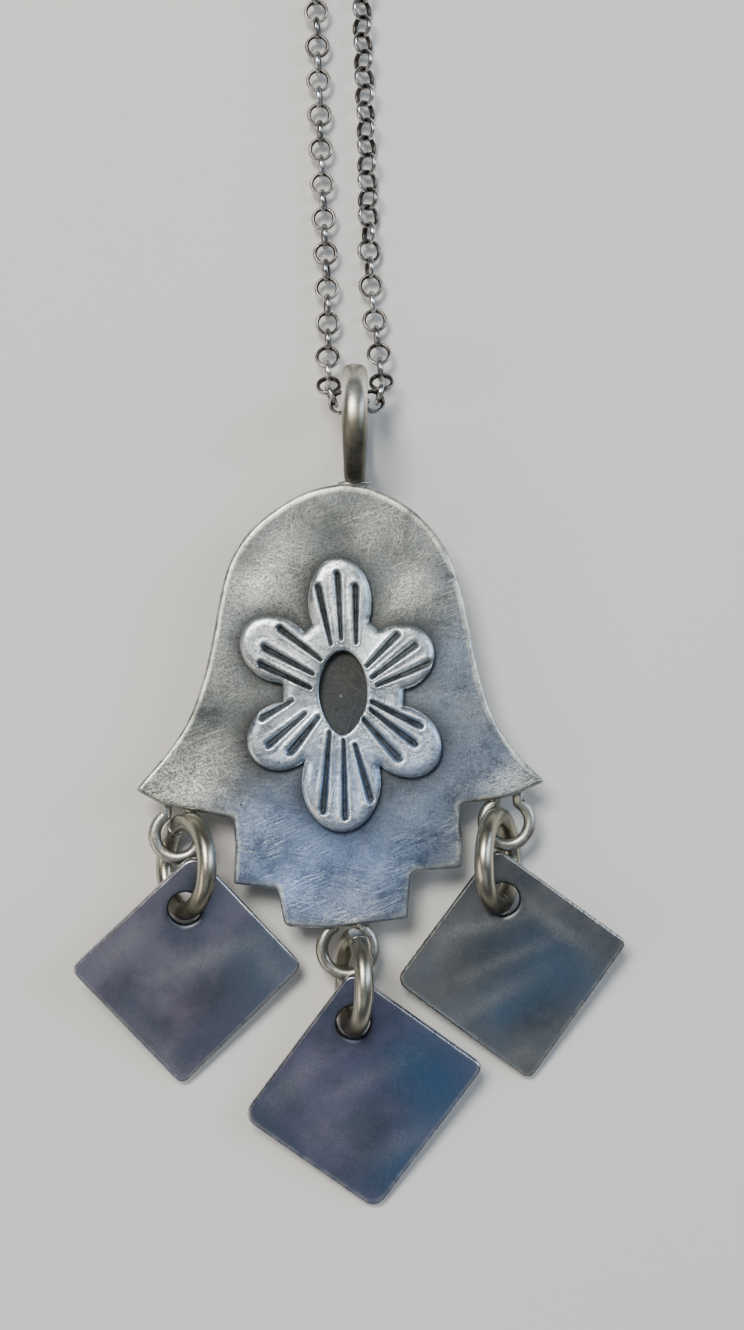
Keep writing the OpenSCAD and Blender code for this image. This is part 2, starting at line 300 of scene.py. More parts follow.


# Sizes and depths in mm; rubbing is the least and most brightness of a patch of wear and painted
# highlight, and what a scratch adds
baseLook = {
    "mid": (0.2, 0.225, 0.23, 1), "dark": (0.13, 0.145, 0.145, 1), "bright": (0.86, 0.87, 0.77, 1),
    # the blue below is a painted cool reflection's colour, and the share of it the clouds bring
    "coolReflection": (0.195, 0.285, 0.49, 1), "black": (0.025, 0.024, 0.022, 1), "coolReflectionClouds": 0.15,
    "cloudSize": 8, "fineShare": 0.2, "shift": 0, "grain": 0.26, "rubbingAndSheen": (0.15, 0.75, 0.8),
    "roughness": (0.32, 0.48), "rimShine": 0.8, "scratchAngles": (12, -48, 67, 100),
    "scratchWidth": 0.2, "scratchStretch": 34, "scratchShine": 0.13, "scratchDepth": 0.004,
    "pitShare": 0, "pitDepth": 0.012, "gritDepth": 0.009, "waveDepth": 0.02,
}


def sheetSilver():
    return silverFinish("worn sheet silver", baseLook)


flowerLook = {
    **baseLook, "mid": (0.62, 0.69, 0.72, 1), "dark": (0.36, 0.41, 0.45, 1),
    "bright": (0.94, 0.98, 0.97, 1), "coolReflection": (0.42, 0.57, 0.82, 1), "cloudSize": 4, "shift": 1.3,
    "grain": 0.2, "roughness": (0.27, 0.4), "scratchShine": 0.15, "pitShare": 0.045,
}


def flowerSilver():
    return silverFinish("rubbed flower silver", flowerLook)


ringLook = {
    **baseLook, "mid": (0.4, 0.375, 0.29, 1), "dark": (0.28, 0.265, 0.2, 1),
    "bright": (1, 0.99, 0.9, 1), "cloudSize": 7, "shift": 2.1, "grain": 0.05,
    "rubbingAndSheen": (0.7, 0.95, 0.5), "roughness": (0.26, 0.33), "scratchAngles": (80, 97),
    "scratchShine": 0.05, "scratchDepth": 0.001, "pitShare": -0.05, "pitDepth": 0,
    "gritDepth": 0.0005, "waveDepth": 0.001,
}


def ringSilver():
    return silverFinish("tarnished ring silver", ringLook)


loopLook = {
    **baseLook, "mid": (0.54, 0.54, 0.5, 1), "dark": (0.42, 0.42, 0.38, 1), "cloudSize": 5,
    "shift": 2.7, "roughness": (0.28, 0.38), "scratchShine": 0.1, "scratchDepth": 0.002,
    "pitShare": -0.03, "pitDepth": 0.004, "gritDepth": 0.001, "waveDepth": 0.004,
}


def loopSilver():
    return silverFinish("pale loop silver", loopLook)


dropLook = {
    **baseLook, "bright": (0.62, 0.62, 0.6, 1), "coolReflectionClouds": 0.35, "cloudSize": 7,
    "fineShare": 0.08, "grain": 0.1, "rubbingAndSheen": (0.5, 0.7, 0.3), "roughness": (0.26, 0.34),
    "rimShine": 0.6, "scratchAngles": (25, -62, 5), "scratchShine": 0.08, "scratchDepth": 0.001,
    "pitShare": -0.06, "pitDepth": 0.004, "gritDepth": 0.001, "waveDepth": 0.006,
}


def dropSilver(name, tones):
    return silverFinish("cloudy " + name + " drop silver", {**dropLook, **tones})


chainLook = {
    **baseLook, "mid": (0.25, 0.225, 0.205, 1), "dark": (0.08, 0.07, 0.065, 1),
    "bright": (0.97, 0.98, 0.98, 1), "coolReflectionClouds": 0.1, "cloudSize": 1.6, "shift": 4.2,
    "grain": 0.1, "rubbingAndSheen": (0.7, 1, 0.5), "roughness": (0.18, 0.28), "scratchAngles": (40,),
    "pitShare": -0.03, "gritDepth": 0.002, "waveDepth": 0.006,
}


def chainSilver():
    return silverFinish("oxidised chain silver", chainLook)


# Outlines
def smoothCurve(points, steps):
    # Catmull-Rom: a cubic through each two points, its ends aimed along their neighbours
    p = np.array(points, float)
    last = len(p) - 1
    i = np.repeat(np.arange(last), steps)
    t = np.tile(np.arange(steps) / steps, last)[:, None]
    a, b, c, d = p[np.maximum(i - 1, 0)], p[i], p[i + 1], p[np.minimum(i + 2, last)]
    curve = 0.5 * (2 * b + (c - a) * t + (2 * a - 5 * b + 4 * c - d) * t ** 2
                   + (3 * b - a - 3 * c + d) * t ** 3)
    return np.vstack([curve, p[-1:]])


def roundedCorners(before, corners, after, steps=8, mostOfSide=0.45):
    # each corner is replaced by a parabola that leaves its two sides radius / tan(half its angle) away
    table = np.array(corners, float)
    way = np.vstack([before, table[:, :2], after])
    a, b, c = way[:-2], way[1:-1], way[2:]
    half = np.arccos((unit(a - b) * unit(c - b)).sum(1)) / 2
    room = mostOfSide * np.minimum(np.linalg.norm(a - b, axis=1), np.linalg.norm(c - b, axis=1))
    run = np.minimum(table[:, 2] / np.tan(half), room)[:, None]
    start, end = (b + unit(a - b) * run)[:, None], (b + unit(c - b) * run)[:, None]
    t = np.linspace(0, 1, steps + 1)[None, :, None]
    return ((1 - t) ** 2 * start + 2 * t * (1 - t) * b[:, None] + t ** 2 * end).reshape(-1, 2)


def evenly(outline, count):  # the same closed outline with points at equal steps along it
    closed = np.vstack([outline, outline[:1]])
    travelled = np.concatenate([[0], np.cumsum(np.linalg.norm(np.diff(closed, axis=0), axis=1))])
    wanted = np.linspace(0, travelled[-1], count, endpoint=False)
    return np.stack([np.interp(wanted, travelled, closed[:, k]) for k in (0, 1)], 1)


def inward(outline):  # unit vectors from the edge of an anticlockwise outline to its inside
    along = unit(np.roll(outline, -1, 0) - np.roll(outline, 1, 0))
    return np.stack([-along[:, 1], along[:, 0]], 1)


def nearest(points, outline):  # distance from each point of a row to the closest point of an outline
    return np.array([np.linalg.norm(row[:, None] - outline[None], axis=2).min(1) for row in points])


def strokes(points, table):
    # soft long patches: amount times exp(-(along / length)^2 - (across / width)^2), summed
    total = np.zeros(points.shape[:-1])
    for u, v, angle, length, width, amount in table:
        offU, offV = points[..., 0] - u, points[..., 1] - v
        along = offU * cosD(angle) + offV * sinD(angle)
        across = offV * cosD(angle) - offU * sinD(angle)
        total += amount * np.exp(-(along / length) ** 2 - (across / width) ** 2)
    return np.clip(total, 0, 1)


def spots(points, table):  # soft round patches
    return strokes(points, [[u, v, 0, size, size, amount] for u, v, size, amount in table])


# Hand sheet
handSheet = {
    "thickness": 1, "tilt": 2.4, "rim": 0.32, "wave": 0.05, "rows": 44, "columns": 960,
    "left": [[0, 16], [-2.4, 15.5], [-4.8, 14.25], [-7.1, 12.35], [-8.7, 9.9], [-9.5, 7.1],
             [-10, 4.2], [-10.7, 1], [-11.8, -2.2], [-13.35, -4.75], [-15.5, -7.3]],
    "right": [[0, 16], [2.3, 15.65], [4.7, 14.55], [6.9, 12.7], [8.5, 10.2], [9.5, 7.2],
              [10.2, 3.8], [11, 0.2], [12.1, -2.7], [13.9, -5.3], [15.5, -6.9]],
    # stepped lower edge from the left wing tip to the right one: u, v, corner radius
    "lower": [[-16, -7.95, 0.25], [-13.9, -9.1, 2], [-8.45, -10.15, 0.35], [-8.2, -12.2, 3],
              [-8.35, -15.2, 0.3], [-4.95, -15.6, 0.3], [-4.35, -18.5, 0.7], [-1, -18.65, 8],
              [5.2, -17.9, 0.3], [5.45, -14.3, 0.8], [9.35, -14, 0.4], [9.45, -12.2, 3],
              [9.2, -9.1, 0.5], [13.2, -8.45, 4], [15.85, -7.3, 0.25]],
    "middle": [0, -0.6], "middleShare": 0.01,
    # tarnish and painted shade round the flower: its amount, its width and its outline's points; then
    # tarnish in the eye
    "halo": 0.85, "haloWidth": 1.3, "haloPoints": 240, "eyeTarnish": 0.45,
    # the rim's wear and painted highlight are less below: the v between which they fade, and the share
    # left
    "rimFade": [-9.5, -6.5], "rimBelow": 0.5,
    # patches of wear and painted highlight, of painted cool reflection, and darker dull ones: u, v, size,
    # amount
    "wearAndHighlight": [[-6, 7.2, 2.6, 0.8], [-3, 9.5, 2.2, 0.35], [5.2, 6.6, 2.2, 0.6], [2.6, 12, 2.6, 0.3],
             [-13, -7.2, 2.2, 0.9], [-10.6, -6.6, 2.6, 0.55], [13.6, -7.2, 1.6, 0.4],
             [-8.1, 1.8, 1.9, 0.6], [0.5, -17, 2.4, 0.3], [-6.4, -12, 2.4, 0.2],
             [11.4, -6.2, 2.4, 0.22]],
    "coolReflection": [[9, -5.4, 4.2, 0.35], [13, -6, 2.6, 0.45], [0.4, -15.4, 5.6, 1],
             [-5, -12.6, 4.6, 1], [6.4, -11.5, 4, 0.35], [9, 3, 3.4, 0.25]],
    "dull": [[-4.8, -9.2, 2.6, 0.2], [-0.6, 13.6, 3.4, 0.25]],
}
bailPlace = {"u": 1.05, "y": 20.6, "z": 4.85}  # the sheet's plane passes through the bail's middle
sheetLift = bailPlace["z"] - bailPlace["y"] * np.tan(np.radians(handSheet["tilt"]))
sheetFace = handSheet["thickness"] / 2


def onSheet(points):  # sheet u, v, height to the layout: tipped about the u axis, then lifted
    u, v, height = np.moveaxis(points, -1, 0)
    tilt = handSheet["tilt"]
    y = v * cosD(tilt) - height * sinD(tilt)
    z = sheetLift + v * sinD(tilt) + height * cosD(tilt)
    return np.stack([u, y, z], -1)


def makeOnSheet(name, rings, material, marks=None, loopRows=False):
    makePiece(name, [skin(onSheet(rings), loopRows)], material, "hand_plate", marks)


def handOutline():
    left = smoothCurve(handSheet["left"], 10)
    right = smoothCurve(handSheet["right"], 10)
    lower = roundedCorners(left[-1], handSheet["lower"], right[-1])
    return evenly(np.vstack([left, lower, right[:0:-1]]), handSheet["columns"])


def sheetWave(points):  # slow hammered unevenness, a sum of sine waves across the sheet
    u, v = points[..., 0], points[..., 1]
    return handSheet["wave"] * (np.sin(0.55 * u + 0.8) * np.cos(0.42 * v - 0.5)
                                + 0.5 * np.sin(1.05 * u - 0.7 * v) + 0.3 * np.cos(1.4 * v + 0.5 * u))


sheetRows = {"rim": 6, "back": 7, "rimStart": 0.985}  # rimStart: where the bright rim, worn and with a painted highlight, begins on the top


def layeredSheet(edge, inner, sheet):
    # rows run over the top from the inner line to the edge, round its rim, and back below
    half, rim, rows = sheet["thickness"] / 2, sheet["rim"], sheet["rows"]
    rimRows, backRows = sheetRows["rim"], sheetRows["back"]
    steps = np.linspace(0, 1, rows)[:, None, None]
    turn = np.linspace(0, 90, rimRows)[:, None, None]
    inset = edge + inward(edge) * rim
    topFlat = inner + (inset - inner) * steps
    topRim = edge + inward(edge) * rim * (1 - sinD(turn[1:]))
    lowRim = edge + inward(edge) * rim * (1 - cosD(turn))
    lowFlat = inset + (inner - inset) * np.linspace(0, 1, backRows + 1)[1:, None, None]
    flat = np.concatenate([topFlat, topRim, lowRim, lowFlat])
    heights = np.concatenate([np.full(rows, half), half - rim * (1 - cosD(turn[1:, 0, 0])),
                              rim * (1 - sinD(turn[:, 0, 0])) - half, np.full(backRows, -half)])
    heights = np.broadcast_to(heights[:, None, None], flat.shape[:2] + (1,))
    onRim = np.concatenate([smoothStep(sheetRows["rimStart"], 1, steps[:, 0, 0]),
                            np.ones(2 * rimRows - 1), np.zeros(backRows)])
    return np.concatenate([flat, heights], 2), np.repeat(onRim[:, None], flat.shape[1], 1)


def makeHandSheet():
    edge = handOutline()
    middle = np.array(handSheet["middle"], float)
    inner = middle + handSheet["middleShare"] * (edge - middle)
    points, onRim = layeredSheet(edge, inner, handSheet)
    flat = points[..., :2]
    onTop = points[..., 2] > 0
    outline = flowerOutline(handSheet["haloPoints"]) + flowerPlace
    fromFlower = np.clip(nearest(flat, outline) * (1 - 2 * within(flat, flowerRadius)), 0, None)
    # tarnish and painted shade round the flower, tarnish in the eye, darker dull patches
    patinaAndShade = handSheet["halo"] * np.exp(-fromFlower / handSheet["haloWidth"]) * onTop
    patinaAndShade = np.maximum(patinaAndShade, handSheet["eyeTarnish"] * within(flat, eyeRadius) * onTop)
    patinaAndShade = np.maximum(patinaAndShade, spots(points, handSheet["dull"]))
    below = handSheet["rimBelow"]
    # the rim's wear and painted highlight, less on the lower edges
    wearAndSheen = below + (1 - below) * smoothStep(*handSheet["rimFade"], points[..., 1])
    # marks: tarnish and painted shade, patches of wear and painted highlight, painted cool reflection, and
    # the rim's wear and painted highlight
    marks = {"patinaAndShade": patinaAndShade, "wearAndHighlight": spots(points, handSheet["wearAndHighlight"]) * (1 - patinaAndShade),
             "coolReflection": spots(points, handSheet["coolReflection"]), "rim": onRim * wearAndSheen}
    points[..., 2] += sheetWave(points)
    makeOnSheet("handSheet", points, sheetSilver(), marks)


# Flower
flower = {
    "u": 0.15, "v": -0.4, "height": 0.9, "blend": 14, "rounding": 0.95, "wall": 0.38,
    "hub": {"halfWidth": 4.75, "halfHeight": 6.15},
    # angle, tip radius, half length, half width
    "petals": [[92, 10.65, 3.55, 2.45], [32, 8, 2.7, 2.45], [-38.5, 9.2, 3.1, 2.6],
               [-91, 10.8, 3.9, 3.05], [-144.5, 8.7, 2.9, 2.55], [147, 9.25, 3.05, 2.45]],
    "eye": {"halfWidth": 1.85, "halfHeight": 3.25, "upper": 2, "lower": 1.7},
    # outer u, v, inner u, v, width on the sheet
    "grooves": [[-1.8, 7.8, -0.8, 3.4, 0.5], [-0.3, 8.8, 0, 3.8, 0.45], [1.1, 7.8, 1.15, 3.5, 0.5],
                [4.3, 4.1, 2, 1.7, 0.5], [5.7, 3.3, 2.4, 0.8, 0.5], [6.8, 1.9, 2.8, 0.2, 0.5],
                [6.1, -2.9, 2.4, -1.1, 0.5], [5.7, -4.3, 2.3, -1.7, 0.5], [4.4, -5.4, 1.8, -2.5, 0.65],
                [-1.4, -9.5, -0.9, -3.5, 0.5], [0.3, -10, 0.2, -4.1, 0.45], [2.3, -8.6, 1.1, -4.5, 0.6],
                [-6.1, -2.3, -3.8, -1, 0.5], [-5.6, -4.4, -2.8, -2, 0.5], [-3.9, -4.9, -1.8, -2.3, 0.6],
                [-4.7, 4.6, -1.6, 2.2, 0.5], [-5.9, 3.1, -2.2, 1.1, 0.5], [-6.2, 1.8, -2.4, 0, 0.5]],
    "grooveDepth": 0.45, "grooveSpread": 1.3, "lip": 0.025, "columns": 620, "wallRows": 4,
    # rows from the eye to the edge, close together near both: from share, to share, count
    "rows": [[0, 0.05, 5], [0.05, 0.88, 66], [0.88, 1, 22]],
    "pillow": 2.4, "eyeRounding": 0.35, "eyeLow": 0.78, "lump": 0.03, "sunk": 0.03, "foot": 0.15,
    # tarnish in the grooves, from cleanDepth on, at the edge and on the walls; lips rubbed bright with a
    # painted highlight
    "grooveTarnish": 2.6, "cleanDepth": 0.28, "edgeTarnish": 0.5, "wallTarnish": 0.8, "lipWearAndSheen": 0.7,
    # patches of wear and painted highlight, and of painted cool reflection: u, v, size, amount
    "wearAndHighlight": [[0.2, 8.2, 2.6, 0.6], [-5, 3.6, 2.6, 0.6], [5.4, 3.4, 2.4, 0.6], [-5.2, -3.9, 2.2, 0.35],
             [0.3, 4.2, 2, 0.4]],
    "coolReflection": [[0.3, -7.6, 3.6, 0.9], [5.6, -4.6, 3, 0.6], [-4.6, -4.6, 2.6, 0.4], [2.4, 0.2, 1.4, 0.2]],
}
flowerPlace = np.array([flower["u"], flower["v"]])


def petalRadius(row, angle):
    # far crossing of a ray from the middle with an ellipse whose tip is at the petal's tip radius
    turn, tip, halfLength, halfWidth = row
    d = angle - turn
    start = tip - halfLength
    a = (cosD(d) / halfLength) ** 2 + (sinD(d) / halfWidth) ** 2
    b = start * cosD(d) / halfLength ** 2
    c = (start / halfLength) ** 2 - 1
    inRoot = b * b - a * c
    return np.where((inRoot > 0) & (cosD(d) > 0), (b + np.sqrt(np.maximum(inRoot, 0))) / a, 0)


def flowerRadius(angle):  # high-power mean of the oval hub's radius and the petals', which rounds joins
    power = flower["blend"]
    hub = 1 / np.hypot(cosD(angle) / flower["hub"]["halfWidth"], sinD(angle) / flower["hub"]["halfHeight"])
    total = hub ** power + sum(petalRadius(row, angle) ** power for row in flower["petals"])
    return total ** (1 / power)


def eyeRadius(angle):  # superellipse, with one power above and another below
    eye = flower["eye"]
    power = np.where(sinD(angle) > 0, eye["upper"], eye["lower"])
    return ((abs(cosD(angle)) / eye["halfWidth"]) ** power
            + (abs(sinD(angle)) / eye["halfHeight"]) ** power) ** (-1 / power)


def flowerOutline(count):
    angle = fullTurn(2400)
    return evenly(flowerRadius(angle)[:, None] * ray(angle), count)


def within(points, radius):  # points nearer the flower's middle than the radius at their angle
    off = points - flowerPlace
    angle = np.degrees(np.arctan2(off[..., 1], off[..., 0]))
    return np.linalg.norm(off, axis=-1) < radius(angle)


def grooveField(points):
    # depth: 1 - (distance from the groove's line / half its width)^1.3, its width 0.6 to 1.1 and its
    # depth 0.75 to 1 from the inner end to the outer; lip: a bell 1.45 half widths from the line
    depth = np.zeros(points.shape[:-1])
    lip = np.zeros(points.shape[:-1])
    for outerU, outerV, innerU, innerV, width in flower["grooves"]:
        start = np.array([innerU, innerV])
        line = np.array([outerU, outerV]) - start
        along = np.clip(((points - start) @ line) / (line @ line), 0, 1)
        away = np.linalg.norm(points - start - along[..., None] * line, axis=-1)
        half = flower["grooveSpread"] * width / 2 * (0.6 + 0.5 * along)
        depth = np.maximum(depth, np.clip(1 - (away / half) ** 1.3, 0, 1) * (0.75 + 0.25 * along))
        lip = np.maximum(lip, np.exp(-((away - 1.45 * half) / (0.45 * half)) ** 2))
    return depth, lip


def makeFlower():
    # rays from the eye's wall to the outline; height is (1 - (1 - d)^2.4)^(1 / 2.4) of the distance d
    # to the edge, lower at the eye and in the grooves
    edge = flowerOutline(flower["columns"])
    angle = np.degrees(np.arctan2(edge[:, 1], edge[:, 0]))
    inner = eyeRadius(angle)[:, None] * ray(angle)
    share = np.unique(np.concatenate([np.linspace(*row) for row in flower["rows"]]))
    top = inner + (edge - inner) * share[:, None, None]
    toEdge = np.clip(nearest(top, edge) / flower["rounding"], 0, 1)
    toEye = np.clip(np.linalg.norm(top - inner, axis=2) / flower["eyeRounding"], 0, 1)
    wall, eyeLow, power = flower["wall"], flower["eyeLow"], flower["pillow"]
    atEye = eyeLow + (1 - eyeLow) * (1 - (1 - toEye) ** 2) ** 0.5
    pillow = (1 - (1 - toEdge) ** power) ** (1 / power) * atEye
    onPlate = top + flowerPlace
    depth, lip = grooveField(onPlate)
    lump = flower["lump"] * np.sin(1.3 * top[..., 0] + 0.4) * np.cos(1.1 * top[..., 1])
    height = flower["height"] * (wall + (1 - wall) * pillow) - flower["sunk"] + lump * pillow
    height = height - flower["grooveDepth"] * depth * toEdge ** 0.3 + flower["lip"] * lip * toEdge
    topRows = np.concatenate([onPlate, (sheetFace + height + sheetWave(onPlate))[..., None]], 2)
    wallRows = flower["wallRows"]
    fall = np.linspace(0, 1, wallRows + 1)[1:, None, None]

    def wallBelow(line):  # straight down from a row of the top to the foot, inside the sheet
        rows = np.repeat(line[None, :, :2], wallRows, 0)
        drop = sheetFace - flower["foot"] - line[None, :, 2:]
        return np.concatenate([rows, line[None, :, 2:] + drop * fall], 2)

    points = np.concatenate([wallBelow(topRows[0])[::-1], topRows, wallBelow(topRows[-1])])
    lowWall = np.concatenate([fall[::-1, 0, 0], np.zeros(len(share)), fall[:, 0, 0]])
    onTop = slice(wallRows, -wallRows)
    patinaAndShade = np.zeros(points.shape[:2])
    patinaAndShade[onTop] = np.clip(flower["grooveTarnish"] * (depth - flower["cleanDepth"])
                            + flower["edgeTarnish"] * (1 - toEdge) ** 3, 0, 1)
    patinaAndShade = np.maximum(patinaAndShade, flower["wallTarnish"] * lowWall[:, None])
    # patches of wear and painted highlight, and groove lips rubbed bright with a painted highlight
    wearAndHighlight = spots(points, flower["wearAndHighlight"]) * (1 - patinaAndShade)
    wearAndHighlight[onTop] = np.maximum(wearAndHighlight[onTop], flower["lipWearAndSheen"] * lip * (1 - depth))
    marks = {"patinaAndShade": patinaAndShade, "wearAndHighlight": wearAndHighlight, "coolReflection": spots(points, flower["coolReflection"])}
    makeOnSheet("flower", points, flowerSilver(), marks, True)


# Bail and its solder
bail = {
    "radius": 3.85, "thickEnd": 1, "thinEnd": 0.86, "squareness": 2.5, "flatter": 0.97,
    # the last three: a painted dark reflection's amount on the half toward the sheet, then a painted
    # highlight's place and width
    "rows": 120, "columns": 28, "tarnishAndShade": 0.8, "highlightAt": 0.45, "highlightWidth": 0.3,
}
solder = {"u": 1, "v": 16, "halfU": 1.2, "halfV": 0.42, "height": 0.55}


def superEllipse(columns, power, first, second):
    # points where |x / first|^power + |y / second|^power = 1
    angle = fullTurn(columns)
    x = np.sign(cosD(angle)) * abs(cosD(angle)) ** (2 / power) * first
    y = np.sign(sinD(angle)) * abs(sinD(angle)) ** (2 / power) * second
    return x, y


def makeBail():
    # a ring standing across the sheet, its wire thick at the far end and thin where it meets the sheet,
    # dented by sine waves with 3 and 7 turns round it
    angle = fullTurn(bail["rows"])[:, None]
    along = cosD(angle)
    size = bail["thinEnd"] + (bail["thickEnd"] - bail["thinEnd"]) * smoothStep(-1, 0.3, along)
    outX, outU = superEllipse(bail["columns"], bail["squareness"], bail["flatter"], 1.0)
    dents = 1 + 0.012 * sinD(3 * angle) + 0.008 * sinD(7 * angle + 40)
    reach = bail["radius"] + size * dents * outX
    v = bailPlace["y"] / cosD(handSheet["tilt"]) + reach * along
    points = np.stack([bailPlace["u"] + size * outU, v, reach * sinD(angle)], -1)
    # painted dark reflection on the half toward the sheet, and a painted highlight on the upper part
    tarnishAndShade = bail["tarnishAndShade"] * smoothStep(0.4, -0.5, along)
    wearAndSheen = np.exp(-((along - bail["highlightAt"]) / bail["highlightWidth"]) ** 2)
    marks = {"patinaAndShade": np.repeat(tarnishAndShade, bail["columns"]), "wearAndHighlight": np.repeat(wearAndSheen, bail["columns"])}
    makeOnSheet("bail", points, ringSilver(), marks, True)


def makeSolder():
    # a low mound: a sphere squeezed across and along the sheet's top edge
    around = fullTurn(40)[None, :]
    rise = np.linspace(-84, 84, 19)[:, None]
    wobble = 1 + 0.1 * sinD(2 * around + 50) + 0.06 * sinD(5 * around)
    points = np.stack([solder["u"] + solder["halfU"] * wobble * cosD(rise) * cosD(around),
                       solder["v"] + solder["halfV"] * wobble * cosD(rise) * sinD(around),
                       solder["height"] * sinD(rise) + 0 * around], -1)
    makeOnSheet("bailSolder", points, loopSilver())


# Wire loops under the sheet's edge: u, v, outside diameter
wireLoops = {"left": [-12.8, -11.45, 4.6], "right": [12.95, -10.45, 4.6], "middle": [0.5, -20.3, 5]}
loopWire = {
    "wire": 1, "flatness": 0.94, "squareness": 2.3, "uneven": 0.03,
    "leg": 3.4, "sink": 0.2, "closing": 58, "legRows": 11, "arcRows": 64,
}


def alongPath(path, sideways, upward, first, second, power, columns=20):
    # a superellipse carried along a path, its axes the given sideways and upward directions
    x, y = superEllipse(columns, power, 1, 1)
    return (path[:, None] + (x * first)[..., None] * sideways[:, None]
            + (y * second)[..., None] * upward[:, None])


def makeWireLoop(name):
    # an arc that closes in past the half circle, then a straight leg up behind the sheet on each side
    u, v, across = wireLoops[name]
    r = (across - loopWire["wire"]) / 2
    closing, legRows = loopWire["closing"], loopWire["legRows"]
    leg = np.linspace(loopWire["leg"], r * sinD(closing), legRows + 1)[:-1]
    legU = np.full(legRows, r * cosD(closing))
    angle = np.linspace(180 - closing, 360 + closing, loopWire["arcRows"])
    flat = np.concatenate([np.stack([-legU, leg], 1), r * ray(angle), np.stack([legU, leg[::-1]], 1)])
    flat = flat + np.array([u, v])
    tangent = unit(np.gradient(flat, axis=0))
    height = np.full((len(flat), 1), loopWire["sink"] - sheetFace - loopWire["wire"] / 2)
    path = np.concatenate([flat, height], 1)
    sideways = np.stack([-tangent[:, 1], tangent[:, 0], np.zeros(len(flat))], 1)
    upward = np.tile([0.0, 0.0, 1.0], (len(flat), 1))
    uneven = loopWire["uneven"] * np.sin(0.35 * np.arange(len(flat)) + u)
    thick = loopWire["wire"] / 2 * (1 + uneven)[:, None]
    rings = alongPath(path, sideways, upward, thick, loopWire["flatness"] * thick, loopWire["squareness"])
    makeOnSheet(name + "Loop", rings, loopSilver())


# Jump rings: centre, lean to the right, and where the wire's cut ends meet
jumpRings = {
    "left": {"x": -12.06, "y": -13.81, "lean": 33, "seam": 62},
    "right": {"x": 12.16, "y": -13.38, "lean": -21.5, "seam": 285},
    "middle": middleRing,
}
jumpWire = {
    "outside": 8.4, "wire": 1.5, "slimmer": 0.96, "squareness": 2.1, "rows": 150, "columns": 30,
    # the cut and its rounded ends, in degrees: the wire's size at each angle, full from the last one on
    "seamGap": 1.6, "endAngles": [0, 0.35, 0.9, 1.6], "endSizes": [0.86, 0.94, 0.985, 1], "fullFrom": 3,
    # painted shade where the ring passes through the drop's hole, then a painted highlight's amount and
    # width
    "tarnishAndShade": 0.85, "highlight": 0.2, "highlightSpread": 0.7,
}


def makeJumpRing(name):
    # a circle of wire from one side of the cut to the other, each end a little rounded over, and
    # uneven by sine waves with 4 and 9 turns round it
    row = jumpRings[name]
    lean, gap, rows = row["lean"], jumpWire["seamGap"], jumpWire["rows"]
    wireR = jumpWire["wire"] / 2
    ringR = jumpWire["outside"] / 2 - wireR
    ends, small, start = np.array(jumpWire["endAngles"]), jumpWire["endSizes"], jumpWire["fullFrom"]
    sweep = np.concatenate([ends, np.linspace(start, 360 - start - gap, rows), 360 - gap - ends[::-1]])
    angle = row["seam"] + gap / 2 + sweep
    size = np.concatenate([small, np.ones(rows), small[::-1]]) * wireR * jumpWire["slimmer"]
    size = (size * (1 + 0.012 * sinD(4 * angle + 30) - 0.01 * sinD(9 * angle)))[:, None]
    down = np.array([-sinD(lean), 0, -cosD(lean)])
    outward = cosD(angle)[:, None] * down + sinD(angle)[:, None] * np.array([0, 1, 0])
    axis = np.tile([cosD(lean), 0, -sinD(lean)], (len(angle), 1))
    path = np.array([row["x"], row["y"], ringR * cosD(lean) + wireR]) + ringR * outward
    columns = jumpWire["columns"]
    rings = alongPath(path, outward, axis, size, size, jumpWire["squareness"], columns)
    # painted shade where it passes through the drop's hole, a painted highlight along its upper part
    tarnishAndShade = jumpWire["tarnishAndShade"] * smoothStep(0.55, 0.95, -sinD(angle))
    wearAndSheen = jumpWire["highlight"] * np.exp(-(sinD(angle) / jumpWire["highlightSpread"]) ** 2)
    marks = {"patinaAndShade": np.repeat(tarnishAndShade, columns), "wearAndHighlight": np.repeat(wearAndSheen, columns)}
    title = "jumpRing" + name.title()
    makePiece(title, [skin(rings)], ringSilver(), "jump_ring_" + name, marks)
